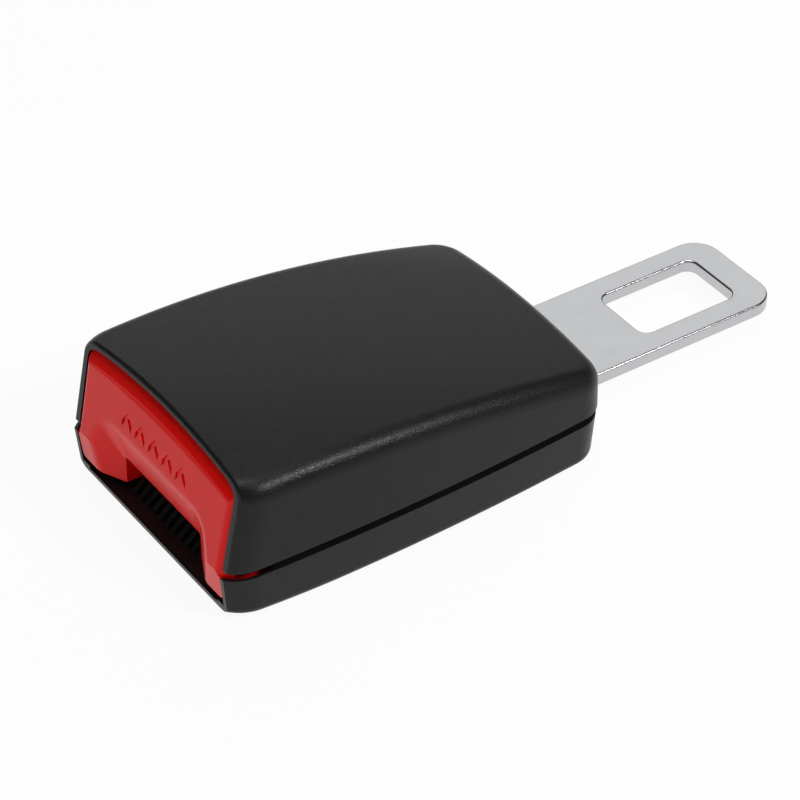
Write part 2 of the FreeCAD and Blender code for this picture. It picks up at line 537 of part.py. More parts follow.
# Lower cover: a shallow tub with the lip behind the reveal, the screw posts, the frame's locating
# pegs, the pad under the tongue and the comb of guide fins in the floor of the mouth.
def lower_cover():
    outer = tub_form("tub_outer", "0", True)
    above_floor = block("above_floor", f"-{FAR_OUT}", f"-{FAR_OUT}", "floor_top",
                        f"4*{FAR_OUT}", f"2*{FAR_OUT}", FAR_OUT)
    inner = meet("tub_space", [tub_form("tub_inner", "wall", False), above_floor])
    rim = meet("tub_rim_space", [tub_form("tub_rim", "tub_rim_wall", False), above_floor, lip_cut])
    lean_cut = prism("tub_front", "side",
                     [(f"-{FAR_OUT}", "-1"), ("(tub_top + 1)*tan(tub_lean)", "-1"), ("0", "tub_top"),
                      (f"-{FAR_OUT}", "tub_top")], FAR_OUT, f"2*{FAR_OUT}")
    shell = cut("tub_shell", outer, [inner, rim, lean_cut])
    low, high = "tub_top - lip_root", "lip_top"
    ring = cut("lip_ring", case_form("lip_outer", "wall + lip_gap"),
               [case_form("lip_inner", "wall + lip_gap + lip_wall"),
                block("lip_under", f"-{FAR_OUT}", f"-{FAR_OUT}", f"{low} - {FAR_OUT}", f"4*{FAR_OUT}",
                      f"2*{FAR_OUT}", FAR_OUT),
                block("lip_over", f"-{FAR_OUT}", f"-{FAR_OUT}", high, f"4*{FAR_OUT}", f"2*{FAR_OUT}",
                      FAR_OUT), lip_cut])
    root = cut("lip_seat", tub_form("lip_root_outer", "rim_wall", False),
               [case_form("lip_root_inner", "wall + lip_gap + lip_wall"),
                block("lip_root_under", f"-{FAR_OUT}", f"-{FAR_OUT}", f"{low} - {FAR_OUT}",
                      f"4*{FAR_OUT}", f"2*{FAR_OUT}", FAR_OUT), lip_cut])
    pieces = [shell, ring, root]
    holes = []
    for name, x, y in screw_places():
        pieces.append(rod(f"post_{name}", UP, x, y, "floor_top/2", "post_radius",
                          "post_top - floor_top/2"))
        holes.append(rod(f"clear_{name}", UP, x, y, "-1", "screw_clear", "post_top + 2"))
        holes.append(rod(f"recess_{name}", UP, x, y, "-1", "head_radius + head_play",
                         "1 + head_sink + head_tall"))
    for side, sign in SIDES:
        pieces.append(rod(f"locator_{side}", UP, "locator_at", f"{sign}*locator_out", "floor_top/2",
                          "locator_radius", "floor_top/2 + plate - side_play"))
    pieces.append(centred("tongue_pad", "body_length - tongue_root", "floor_top/2", "tongue_root - wall/2",
                          "tail_half", "tongue_top - tongue_plate - floor_top/2"))
    fins = int(2 * size("slot_half") / size("fin_pitch"))
    for i in range(fins):
        middle_y = f"{i - (fins - 1) / 2}*fin_pitch"
        pieces.append(prism(f"fin_{i + 1}", "side",
                            [("fin_start", "floor_lip/2"), ("frame_start - side_play", "floor_lip/2"),
                             ("frame_start - side_play", "floor_top + plate"),
                             ("fin_start + fin_ramp", "floor_top + plate"),
                             ("fin_start", "floor_top - plate/4")],
                            f"{middle_y} + fin_width/2", "fin_width"))
    ramp = prism("floor_ramp", "side",
                 [("-5", "floor_lip"), ("lip_run - floor_top", "floor_lip"), ("lip_run", "floor_top"),
                  ("lip_run", "floor_top + 1"), ("-5", "floor_top + 1")],
                 "half_width - 2*wall - front_overshoot", "2*(half_width - 2*wall - front_overshoot)")
    notch = centred("rear_notch", "body_length - 3*wall", "tongue_top - tongue_plate - notch_gap", "4*wall",
                    "tongue_half + notch_gap", "lip_top")
    ramped = cut("tub_ramped", join("tub_plain", [shell, ring, root]), [ramp])
    pieces = [ramped] + pieces[3:]
    keep(cut("lower_cover_solid", join("tub_joined", pieces), holes + [notch]), "lower_cover")


# Push button: a hollow face block with a bevelled top, legs beside the mouth, and two arms that
# reach back to the lock bar.
def crowned_slope(name, at, height, lean, crown):
    """All that lies under a slope through (at, height) at the middle, crowned in end view by a radius."""
    reach = size("half_width") * 1.8
    start = -10
    rise = 1 / math.tan(math.radians(lean))
    top = height - (at - start) * rise
    spread = math.asin(reach / crown)
    centre = Part.Circle(FreeCAD.Vector(0, top - crown, 0), UP, crown)
    arc = Part.ArcOfCircle(centre, math.pi / 2 - spread, math.pi / 2 + spread)
    low = top - 80
    corners = [arc.EndPoint, FreeCAD.Vector(-reach, low, 0), FreeCAD.Vector(reach, low, 0), arc.StartPoint]
    sketch = doc.addObject("Sketcher::SketchObject", name + "_outline")
    sketch.addGeometry(arc, False)
    for first, last in zip(corners, corners[1:]):
        sketch.addGeometry(Part.LineSegment(first, last), False)
    for i in range(4):
        sketch.addConstraint(Sketcher.Constraint("Coincident", i, 2, (i + 1) % 4, 1))
    sketch.Placement = FreeCAD.Placement(FreeCAD.Vector(start, 0, 0),
                                         FreeCAD.Rotation(FreeCAD.Vector(1, 1, 1), 120))
    push = doc.addObject("Part::Extrusion", name)
    push.Base = sketch
    push.DirMode = "Custom"
    push.Dir = FreeCAD.Vector(1, 0, rise)
    push.LengthFwd = 60 * math.hypot(1, rise)
    push.Solid = True
    return push


def arch(name, x, half, top, corner):
    """An arch-shaped outline across the buckle at x, its feet below the floor, its corners round."""
    low = -2
    turn = math.pi / 2
    right_round = Part.Circle(FreeCAD.Vector(half - corner, top - corner, 0), UP, corner)
    left_round = Part.Circle(FreeCAD.Vector(corner - half, top - corner, 0), UP, corner)
    right = Part.ArcOfCircle(right_round, 0, turn)
    left = Part.ArcOfCircle(left_round, turn, 2 * turn)
    low_right, low_left = FreeCAD.Vector(half, low, 0), FreeCAD.Vector(-half, low, 0)
    sketch = doc.addObject("Sketcher::SketchObject", name)
    sketch.addGeometry(Part.LineSegment(low_left, low_right), False)
    sketch.addGeometry(Part.LineSegment(low_right, right.StartPoint), False)
    sketch.addGeometry(right, False)
    sketch.addGeometry(Part.LineSegment(right.EndPoint, left.StartPoint), False)
    sketch.addGeometry(left, False)
    sketch.addGeometry(Part.LineSegment(left.EndPoint, low_left), False)
    for i in range(6):
        sketch.addConstraint(Sketcher.Constraint("Coincident", i, 2, (i + 1) % 6, 1))
    sketch.Placement = FreeCAD.Placement(FreeCAD.Vector(x, 0, 0),
                                         FreeCAD.Rotation(FreeCAD.Vector(1, 1, 1), 120))
    return sketch


def scoop_hollow():
    """The hollow round the mouth: arches that shrink from the face to the mouth's own outline."""
    depth = size("scoop_depth")
    face_at = (size("scoop_top") - size("face_bend")) * math.tan(math.radians(size("face_lean")))
    climb = (size("scoop_top") - size("slot_top")) / (depth - face_at)
    sections = []
    for i, share in enumerate((-0.4, 1.0)):
        spare = 1 - share
        half = size("slot_half") + spare * (size("scoop_half") - size("slot_half"))
        top = size("slot_top") + spare * depth * climb
        corner = size("slot_corner") + spare * (size("scoop_corner") - size("slot_corner"))
        sections.append(arch(f"scoop_arch_{i + 1}", share * depth, half, top, corner))
    loft = doc.addObject("Part::Loft", "scoop")
    loft.Sections = sections
    loft.Solid = True
    loft.Ruled = True
    return loft


def button_space(name, inset, inset_below):
    """The room for the button: the upper form above the reveal and the lower form below it."""
    above = cut(name + "_above", case_form(name + "_case", inset),
                [block(name + "_floor", f"-{FAR_OUT}", f"-{FAR_OUT}", f"tub_top - {FAR_OUT}",
                       f"4*{FAR_OUT}", f"2*{FAR_OUT}", FAR_OUT)])
    return join(name, [above, tub_form(name + "_tub", inset_below, False)])


def release_button():
    brow_at = (size("face_top") - size("face_bend")) * math.tan(math.radians(size("face_lean")))
    bevel_at = brow_at + size("brow_rise") * math.tan(math.radians(size("brow_lean")))
    brow = crowned_slope("brow", brow_at, size("face_top"), size("brow_lean"), size("brow_crown"))
    bevel = crowned_slope("bevel", bevel_at, size("face_top") + size("brow_rise"), size("bevel_lean"),
                          size("bevel_crown"))
    half_at = bevel_at + size("bevel_half_rise") * math.tan(math.radians(size("bevel_lean")))
    half_top = size("face_top") + size("brow_rise") + size("bevel_half_rise")
    bevel_high = crowned_slope("bevel_high", half_at, half_top, size("bevel_high_lean"),
                               size("bevel_crown"))
    profile = prism("button_profile", "side",
                    [("leg_setback", "button_bottom"), (LEG_BACK, "button_bottom"),
                     (LEG_BACK, "leg_top"), ("button_depth", "leg_top"), ("button_depth", "roof_peak"),
                     (FACE % "roof_peak", "roof_peak"), ("0", "face_bend")],
                    "half_width", "2*half_width")
    flange = prism("flange_reach", "side",
                   [("-5", "0"), ("flange_depth", "0"), ("flange_depth", "face_bend"),
                    (FACE % "roof_peak" + " + bevel_run", "roof_peak"), ("-5", "roof_peak")],
                   "half_width", "2*half_width")
    wide = meet("button_flange", [profile, flange, button_space("flange_form", "rim_wall + button_gap",
                                                           "tub_rim_wall + leg_gap")])
    wide = rounded("face_rounded", wide, size("face_round"), lambda edge: face_side(edge))
    inner = "wall + lip_gap + lip_wall + button_gap"
    core = meet("button_core", [profile, button_space("core_form", inner, inner)])
    body = meet("button_block", [join("button_whole", [wide, core]), brow, bevel, bevel_high])
    body = rounded("bevel_rounded", body, size("bevel_round"),
                   lambda edge: across_at(edge, half_at, half_top))
    corners = [prism(f"leg_corner_{side}", "end",
                     [(f"{sign}*(half_width + front_overshoot)", "button_bottom - 1"),
                      (f"{sign}*(half_width - leg_foot)", "button_bottom - 1"),
                      (f"{sign}*(half_width - leg_foot)", "button_bottom"),
                      (f"{sign}*(half_width - leg_knee)", "button_bottom + leg_knee_rise"),
                      (f"{sign}*(half_width - leg_hip)", "button_bottom + leg_hip_rise"),
                      (f"{sign}*(half_width + front_overshoot)", "button_bottom + leg_hip_rise")],
                     "-5", FAR_OUT) for side, sign in SIDES]
    mouth = centred("button_mouth", "-5", "-1", FAR_OUT, "slot_half", "slot_top + 1")
    hollow = prism("button_hollow", "side",
                   [(FACE % "(scoop_top + wall)" + " + button_skin", "scoop_top + wall"),
                    (f"{LEG_BACK} + 1", "scoop_top + wall"),
                    (f"{LEG_BACK} + 1", "face_top + bevel_run - button_skin"),
                    (FACE % "face_top" + " + bevel_run + button_skin/2",
                     "face_top + bevel_run - button_skin"),
                    (FACE % "face_top" + " + button_skin", "face_top - button_skin/2")],
                   "slot_half + 4*wall", "2*(slot_half + 4*wall)")
    behind = centred("between_legs", "button_depth", "button_bottom - 1", FAR_OUT,
                     "slot_half + leg_relief", "leg_top")
    tools = [mouth, scoop_hollow(), hollow, behind] + corners
    band = prism("mark_band", "side",
                 [("-5", "mark_low - 1"), (FACE % "(mark_low - 1)" + " + mark_sink", "mark_low - 1"),
                  (FACE % "(mark_low + mark_tall + 1)" + " + mark_sink", "mark_low + mark_tall + 1"),
                  ("-5", "mark_low + mark_tall + 1")], "half_width", "2*half_width")
    chevrons = []
    for i in range(int(size("mark_count"))):
        y = f"(({i} - (mark_count - 1)/2)*mark_pitch)"
        chevrons.append(prism(f"chevron_{i + 1}", "end",
                              [(f"{y} - mark_width/2", "mark_low"),
                               (y, "mark_low + mark_tall - mark_stroke"),
                               (f"{y} + mark_width/2", "mark_low"),
                               (f"{y} + mark_width/2", "mark_low + mark_stroke"),
                               (y, "mark_low + mark_tall"),
                               (f"{y} - mark_width/2", "mark_low + mark_stroke")], "-5", FAR_OUT))
    tools.append(meet("marks", [band, join("chevrons", chevrons)]))
    body = rounded("scoop_softened", cut("button_hollowed", body, tools), size("scoop_ease"),
                   lambda edge: scoop_rim(edge))
    pieces = [body]
    for side, sign in SIDES:
        pieces.append(centred(f"arm_{side}", "button_depth/2", "arm_low", f"{ARM_END} - button_depth/2",
                              "arm_wall/2", "arm_tall", f"{sign}*({ARM_INNER} + arm_wall/2)"))
        pieces.append(rod(f"button_peg_{side}", ALONG, f"{LEG_BACK} - 1", f"{sign}*{SPRING_OUT}",
                          "button_spring_height", "peg_radius", "peg_length + 1"))
    keep(join("button_solid", pieces), "release_button")


def across_at(edge, x, z):
    """True of the long edges across the button whose middle is at x and z."""
    point = middle(edge)
    return edge.Length > size("half_width") and abs(point.x - x) < 0.05 and abs(point.z - z) < 0.05


def scoop_rim(edge):
    """True of the edges between the button's face and the scoop."""
    bend = size("face_bend")
    tall = bend - size("button_bottom")
    slope = math.tan(math.radians(size("face_lean")))
    away = []
    for point in edge.discretize(5):
        face_at = max((point.z - bend) * slope, (bend - point.z) * size("leg_setback") / tall)
        away.append(abs(point.x - face_at))
    point = middle(edge)
    side = size("slot_half") + 1 < abs(point.y) < size("scoop_half") + 0.3
    low = point.z < size("scoop_top") + 0.2 and not abs(point.z - bend) < 0.01
    flat = abs(point.z - size("button_bottom")) < 0.01
    top = abs(point.z - size("scoop_top")) < 0.2 and abs(point.y) < size("scoop_half")
    return max(away) < 0.02 and not flat and (side and low or top)


def face_side(edge):
    """True of the upright edges between the button's face and its sides."""
    point = middle(edge)
    face_at = (point.z - size("face_bend")) * math.tan(math.radians(size("face_lean")))
    ahead = point.z > size("face_bend") and abs(point.x - face_at) < 0.02
    return upright(edge) and ahead and abs(point.y) > size("scoop_half")


# Frame: a steel channel whose base steps up over the root of the tongue.
def buckle_frame():
    high = "tongue_top + plate"
    step = "body_length - tail_length"
    strip = prism("frame_strip", "side",
                  [("frame_start", "floor_top"), (f"{step} - joggle", "floor_top"), (step, "tongue_top"),
                   ("body_length - tail_gap", "tongue_top"), ("body_length - tail_gap", high),
                   (f"{step} - plate/2", high), (f"{step} - joggle - plate/2", "floor_top + plate"),
                   ("frame_start", "floor_top + plate")], "frame_half", "2*frame_half")
    trims = []
    for side, sign in SIDES:
        trims.append(block(f"nose_trim_{side}", "frame_start - 1",
                           f"{sign}*(frame_nose_half + frame_half) - frame_half", "0",
                           "wall_start - frame_start + 1", "2*frame_half", FAR_OUT))
        trims.append(block(f"tail_trim_{side}", f"{step} - joggle - plate",
                           f"{sign}*(tail_half + frame_half) - frame_half", "0",
                           FAR_OUT, "2*frame_half", FAR_OUT))
    base = cut("frame_base", strip, trims)
    walls = [centred(f"frame_wall_{side}", "wall_start", "floor_top", "wall_length - plate", "plate/2",
                     "wall_top - floor_top", f"{sign}*(frame_half - plate/2)") for side, sign in SIDES]
    tab = centred("spring_tab", TAB_AT, "floor_top", "plate*0.75", "tab_half", "tab_top - floor_top")
    tooth_hole = centred("tooth_hole", "pivot_at - tooth_front - tooth_play", "0",
                         "tooth_length + 2*tooth_play", "tooth_half + tooth_play", "floor_top + plate + 1")
    holes = [tooth_hole,
             rod("pivot_hole", ACROSS, "pivot_at", "-frame_half - 1", "pivot_height",
                 "pin_radius + pin_play/2", "2*frame_half + 2")]
    slot_ends = [rod("slot_rest", ACROSS, "0", "-frame_half - 1", "0", "bar_radius + pin_play",
                     "2*frame_half + 2"),
                 rod("slot_locked", ACROSS, "-bar_travel", "-frame_half - 1", "0", "bar_radius + pin_play",
                     "2*frame_half + 2"),
                 centred("slot_run", "-bar_travel", "-bar_radius - pin_play", "bar_travel", "frame_half + 1",
                         "2*(bar_radius + pin_play)")]
    slot = join("bar_slot", slot_ends)
    slot.Placement = FreeCAD.Placement(FreeCAD.Vector(), FreeCAD.Rotation(FreeCAD.Vector(0, -1, 0), 1))
    bind(slot, "Placement.Rotation.Angle", "bar_slope")
    put(slot, "bar_at", "0", "bar_height")
    holes.append(slot)
    for name in ("rivet_front", "rivet_rear"):
        holes.append(rod(f"{name}_hole", UP, f"body_length - {name}", "0", "0", "rivet_radius", FAR_OUT))
    for side, sign in SIDES:
        holes.append(rod(f"locator_hole_{side}", UP, "locator_at", f"{sign}*locator_out", "0",
                         "locator_radius + pin_play", "floor_top + plate + 1"))
    keep(cut("frame_solid", join("frame_joined", [base, tab] + walls), holes), "buckle_frame")


# Tongue: one flat plate, riveted under the frame's tail, with the window that a buckle latches in.
def tongue_plate():
    root = "body_length - tongue_root"
    tip = "body_length + tongue_reach"
    low = "tongue_top - tongue_plate"
    blank = centred("tongue_blank", root, low, f"{tip} - ({root})", "tongue_half", "tongue_plate")
    window = centred("window_blank", f"{tip} - window_start - window_length", f"{low} - 1", "window_length",
                     "window_half", "tongue_plate + 2")
    window = rounded("window", window, size("window_corner"), upright)
    plate = rounded("tongue_cornered", blank, size("tongue_corner"),
                    lambda edge: upright_short(edge) and middle(edge).x > size("body_length"))
    pierced = cut("tongue_pierced", plate, [window])
    eased = rounded("tongue_eased", pierced, size("tongue_edge"),
                    lambda edge: not upright_short(edge) and edge.BoundBox.XMax > size("body_length"))
    holes = []
    for name in ("rivet_front", "rivet_rear"):
        x = f"body_length - {name}"
        holes.append(rod(f"{name}_tongue_hole", UP, x, "0", "0", "rivet_radius", FAR_OUT))
        sink = doc.addObject("Part::Cone", f"{name}_sink")
        bind(sink, "Radius1", "rivet_radius + rivet_sink")
        bind(sink, "Radius2", "rivet_radius")
        bind(sink, "Height", "rivet_sink")
        holes.append(put(sink, x, "0", low))
    keep(cut("tongue_solid", eased, holes), "tongue_plate")


def upright_short(edge):
    """True of a straight edge through a plate's thickness."""
    box = edge.BoundBox
    return box.XLength < 0.01 and box.YLength < 0.01


# Rivets: countersunk below the tongue and domed above the frame's tail.
def tongue_rivets():
    for name in ("rivet_front", "rivet_rear"):
        low = "tongue_top - tongue_plate"
        shank = rod(f"{name}_shank", UP, "0", "0", low, "rivet_radius", "tongue_plate + plate")
        foot = doc.addObject("Part::Cone", f"{name}_foot")
        bind(foot, "Radius1", "rivet_radius + rivet_sink")
        bind(foot, "Radius2", "rivet_radius")
        bind(foot, "Height", "rivet_sink")
        put(foot, "0", "0", low)
        ball = doc.addObject("Part::Sphere", f"{name}_ball")
        dome = "(rivet_head^2 + rivet_rise^2)/(2*rivet_rise)"
        bind(ball, "Radius", dome)
        put(ball, "0", "0", f"tongue_top + plate + rivet_rise - {dome}")
        cap = block(f"{name}_cap", "-rivet_head*2", "-rivet_head*2", "tongue_top + plate", "rivet_head*4",
                    "rivet_head*4", "rivet_rise*2")
        dome_head = meet(f"{name}_dome", [ball, cap])
        keep(join(f"{name}_solid", [shank, foot, dome_head]), "tongue_" + name, f"body_length - {name}")


# Latch: a plate between two ears, drawn flat about its pivot and then turned up by its lift.
def latch_plate():
    pieces = [centred("latch_sheet", "-latch_reach", "-plate", "latch_reach - latch_gap", "latch_half",
                      "plate"),
              centred("latch_tooth", "-tooth_front", "-tooth_drop", "tooth_length", "tooth_half",
                      "tooth_drop - plate/2")]
    for side, sign in SIDES:
        y = f"{sign}*(latch_half - plate/2)"
        pieces.append(centred(f"latch_arm_{side}", "-ear_run", "-plate", "ear_run", "plate/2", "plate", y))
        pieces.append(rod(f"latch_ear_{side}", ACROSS, "0", f"{y} - plate/2", "0", "ear_radius", "plate"))
    stud = rod("latch_stud", UP, "latch_spring_at - pivot_at", "0", "-plate/2", "peg_radius",
               "plate/2 + peg_length/2")
    bore = rod("latch_bore", ACROSS, "0", "-2*latch_half", "0", "pin_radius + pin_play/2", "4*latch_half")
    solid = cut("latch_solid", join("latch_joined", pieces + [stud]), [bore])
    solid.Placement = FreeCAD.Placement(FreeCAD.Vector(), FreeCAD.Rotation(ACROSS, 1))
    bind(solid, "Placement.Rotation.Angle", "latch_lift")
    keep(solid, "latch_plate", "pivot_at", "0", "pivot_height")


# Pivot pin with its head, and the washer that its other end is peened over.
def latch_pin():
    outside = "frame_half + pin_flange"
    shank = rod("pin_shank", ACROSS, "0", "-frame_half", "0", "pin_radius",
                f"frame_half + {outside} + pin_stub")
    head = rod("pin_head_disc", ACROSS, "0", f"-({outside})", "0", "pin_head", "pin_flange")
    keep(join("pin_solid", [shank, head]), "latch_pin", "pivot_at", "0", "pivot_height")
    ring = rod("washer_disc", ACROSS, "0", "frame_half", "0", "pin_head", "pin_flange")
    hole = rod("washer_hole", ACROSS, "0", "frame_half - 1", "0", "pin_radius", "pin_flange + 2")
    keep(cut("washer_solid", ring, [hole]), "latch_pin_washer", "pivot_at", "0", "pivot_height")


# Lock bar: lies across the frame in two sloping slots and holds the latch down when it is forward.
def lock_bar():
    keep(rod("bar_solid", ACROSS, "0", "0", "0", "bar_radius", f"2*{BAR_HALF}"), "lock_bar",
         "bar_at", f"-{BAR_HALF}", "bar_height")


# Ejector: a fork that holds the latch up and pushes a released tongue out.
def ejector():
    low = "floor_top + plate + slide_gap"
    wide = "frame_half - plate - side_play"
    bridge = centred("ejector_bridge", "prong_length", low, "bridge_length", "bridge_half",
                     f"bridge_top - ({low})")
    wings = centred("ejector_wings", "prong_length", low, "bridge_length", wide, f"wing_top - ({low})")
    prongs = [centred(f"prong_{side}", "0", low, "prong_length + 1", "prong_width/2", f"prong_top - ({low})",
                      f"{sign}*(prong_inner + prong_width/2)") for side, sign in SIDES]
    peg = rod("ejector_peg", ALONG, "prong_length + bridge_length - 1", "0", "ejector_spring_height",
              "peg_radius", "peg_length + 1")
    keep(join("ejector_solid", [bridge, wings, peg] + prongs), "ejector", "ejector_at")


def coil(label, axis, x, y, z, length, mean, wire, turns):
    """A compression spring along axis, from one seat to the other, with a small gap at each end."""
    helix = doc.addObject("Part::Helix", label + "_helix")
    run = f"({length}) - 2*seat_gap - 2*{wire}"
    bind(helix, "Height", run)
    bind(helix, "Pitch", f"({run})/{turns}")
    bind(helix, "Radius", mean)
    section = doc.addObject("Part::Circle", label + "_section")
    section.Placement = FreeCAD.Placement(FreeCAD.Vector(), FreeCAD.Rotation(ALONG, 90))
    bind(section, "Radius", wire)
    put(section, mean)
    wound = doc.addObject("Part::Sweep", label + "_solid")
    wound.Sections = [section]
    wound.Spine = (helix, ["Edge1"])
    wound.Solid = True
    wound.Frenet = True
    wound.Placement = FreeCAD.Placement(FreeCAD.Vector(), FreeCAD.Rotation(UP, axis))
    start = f" + seat_gap + {wire}"
    keep(wound, label, x + start * (axis == ALONG), y, z + start * (axis == UP))


def springs():
    rear = "ejector_at + prong_length + bridge_length"
    coil("ejector_spring", ALONG, rear, "0", "ejector_spring_height", f"{TAB_AT} - ({rear})",
         "ejector_coil", "ejector_wire", "ejector_turns")
    for side, sign in SIDES:
        coil(f"button_spring_{side}", ALONG, LEG_BACK, f"{sign}*{SPRING_OUT}",
             "button_spring_height", f"rib_at - {LEG_BACK}", "button_coil", "button_wire", "button_turns")
    coil("latch_spring", UP, "latch_spring_at", "0", "latch_spring_low",
         "latch_spring_top - latch_spring_low", "latch_coil", "latch_wire", "latch_turns")


# Cover screws, driven from below: a flat head with a cross slot, and a plain shank.
def cover_screws():
    for number, (name, x, y) in enumerate(screw_places(), start=1):
        head = rod(f"screw_head_{number}", UP, "0", "0", "head_sink", "head_radius", "head_tall")
        shank = rod(f"screw_shank_{number}", UP, "0", "0", "head_sink + head_tall/2", "screw_radius",
                    "screw_length + head_tall/2")
        cross = [centred(f"cross_a_{number}", "-head_radius*0.6", "head_sink - 1", "head_radius*1.2",
                         "drive_width/2", "1 + head_tall*0.4"),
                 centred(f"cross_b_{number}", "-drive_width/2", "head_sink - 1", "drive_width",
                         "head_radius*0.6", "1 + head_tall*0.4")]
        keep(cut(f"screw_solid_{number}", join(f"screw_joined_{number}", [head, shank]), cross),
             f"cover_screw_{name}", x, y)


upper_cover()
lower_cover()
release_button()
buckle_frame()
tongue_plate()
tongue_rivets()
latch_plate()
latch_pin()
lock_bar()
ejector()
springs()
cover_screws()
doc.recompute()

failed = [thing.Label for thing in doc.Objects if {"Invalid", "Error"} & set(thing.State)]
for thing in kept:
    if thing.Shape.isNull() or not thing.Shape.isValid() or len(thing.Shape.Solids) != 1:
        failed.append(f"{thing.Label} shape, {len(thing.Shape.Solids)} solids")
if failed:
    sys.exit("failed: " + ", ".join(failed))
for thing in kept:
    thing.Shape.exportStep(f"parts/{thing.Label}.step")
    box = thing.Shape.BoundBox
    print(f"{thing.Label}: {thing.Shape.Volume:.1f} mm3, x {box.XMin:.2f} to {box.XMax:.2f}, "
          f"y {box.YMin:.2f} to {box.YMax:.2f}, z {box.ZMin:.2f} to {box.ZMax:.2f}")
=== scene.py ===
# %% [markdown]
# # A seat belt extender, dressed for a studio picture
# The object is a short buckle with a steel tongue at its rear. Its parts arrive as a CAD frame in metres: x runs
# from the push button to the tongue, y across, z up. Their shapes are right as they come, so this script gives
# each of them its finish, and sets floor, lights and camera around them.

import bpy
import numpy as np
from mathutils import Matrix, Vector

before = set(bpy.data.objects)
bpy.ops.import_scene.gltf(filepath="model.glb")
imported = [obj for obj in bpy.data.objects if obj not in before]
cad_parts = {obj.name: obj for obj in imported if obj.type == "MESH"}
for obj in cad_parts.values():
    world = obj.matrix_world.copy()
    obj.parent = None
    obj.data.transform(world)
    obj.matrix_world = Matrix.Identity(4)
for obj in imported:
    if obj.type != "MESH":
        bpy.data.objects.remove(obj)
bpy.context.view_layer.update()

# %% [markdown]
# ## The camera
# The far end of the object is hardly smaller in the picture than the near end, so the picture was taken through a
# long lens from half a metre away. A short lens from nearby would show the same outline with a swollen button.
# The place and the direction were solved from the object's edges, so they aren't round numbers.

# %% Camera
SENSOR = 36.0
LENS = 147.97
CAMERA_PLACE = Vector((-0.25315, -0.3536, 0.34485))
CAMERA_LOOK = Vector((0.4429, 0.6487, -0.6190))

camera_data = bpy.data.cameras.new("studio_camera")
camera_data.sensor_width = SENSOR
camera_data.lens = LENS
camera = bpy.data.objects.new("studio_camera", camera_data)
camera.location = CAMERA_PLACE
camera.rotation_euler = CAMERA_LOOK.to_track_quat("-Z", "Y").to_euler()
bpy.context.scene.collection.objects.link(camera)
bpy.context.scene.camera = camera
bpy.context.scene.view_settings.view_transform = "Standard"
print("camera", [round(v, 3) for v in camera.location])


# %% [markdown]
# ## Shader maths as arithmetic
# A procedural finish is mostly sums and products of masks. Wiring Math nodes by hand hides that, so a small class
# wraps a socket and lets Python's own operators add the nodes. One more method makes every other kind of node.

# %% Socket arithmetic
class Wire:
    """An output socket of a finish. Python's operators on it add Math nodes."""

    def __init__(self, finish, socket):
        self.finish = finish
        self.socket = socket

    def math(self, operation, *values, clamp=False):
        settings = {"operation": operation, "use_clamp": clamp}
        return self.finish.node("ShaderNodeMath", settings, *values)

    def __add__(self, other):
        return self.math("ADD", self, other)

    def __mul__(self, other):
        return self.math("MULTIPLY", self, other)

    __radd__ = __add__
    __rmul__ = __mul__

    def clamped(self):
        return self.math("ADD", self, 0.0, clamp=True)

    def step(self, start, end):
        """0 below start, 1 above end, an S-shaped rise between them."""
        settings = {"interpolation_type": "SMOOTHSTEP"}
        return self.finish.node("ShaderNodeMapRange", settings, self, start, end, 0.0, 1.0)


class Finish:
    """A material built round one Principled shader."""

    def __init__(self, name, **constants):
        self.material = bpy.data.materials.new(name)
        self.material.use_nodes = True
        self.tree = self.material.node_tree
        self.tree.nodes.clear()
        self.shader = self.tree.nodes.new("ShaderNodeBsdfPrincipled")
        self.output = self.tree.nodes.new("ShaderNodeOutputMaterial")
        self.tree.links.new(self.shader.outputs["BSDF"], self.output.inputs["Surface"])
        self.set(**constants)

    def set(self, **values):
        """Sets the shader's sockets by name, with _ for a space, to a number, a colour or a Wire."""
        for name, value in values.items():
            self.feed(self.shader.inputs[name.replace("_", " ")], value)

    def feed(self, socket, value):
        if isinstance(value, Wire):
            self.tree.links.new(value.socket, socket)
        elif isinstance(value, tuple) and len(value) == 3 and socket.type == "RGBA":
            socket.default_value = (*value, 1.0)
        else:
            socket.default_value = value

    def node(self, kind, settings, *values, output=0, **named):
        """Adds a node: its settings first, then its sockets in order or by name. Returns one output."""
        node = self.tree.nodes.new(kind)
        for name, value in settings.items():
            setattr(node, name, value)
        for socket, value in zip(node.inputs, values):
            self.feed(socket, value)
        for name, value in named.items():
            self.feed(node.inputs[name.replace("_", " ")], value)
        return Wire(self, node.outputs[output])

    def place(self):
        """Object coordinates: metres in the object's own frame."""
        return self.node("ShaderNodeTexCoord", {}, output="Object")

    def noise(self, size, detail=2.0, stretch=(1.0, 1.0, 1.0)):
        """Noise with lumps of about size metres, longer along an axis whose stretch is above 1."""
        scale = tuple(1.0 / (size * s) for s in stretch)
        where = self.node("ShaderNodeMapping", {}, self.place(), Scale=scale)
        return self.node("ShaderNodeTexNoise", {}, Vector=where, Scale=1.0, Detail=detail)

    def mix(self, share, first, second):
        """A colour between two others, by share."""
        node = self.tree.nodes.new("ShaderNodeMix")
        node.data_type = "RGBA"
        for index, value in ((0, share), (6, first), (7, second)):
            self.feed(node.inputs[index], value)
        return Wire(self, node.outputs[2])

    def bump(self, height, depth):
        """A surface that rises by height times depth metres."""
        return self.node("ShaderNodeBump", {}, Height=height, Distance=depth, Strength=1.0)


def sheet_colour(red, green, blue):
    """An 8-bit screen colour as the linear light that shaders use."""
    share = np.array((red, green, blue)) / 255.0
    linear = np.where(share <= 0.04045, share / 12.92, ((share + 0.055) / 1.055) ** 2.4)
    return tuple(float(v) for v in linear)


print("socket arithmetic ready")

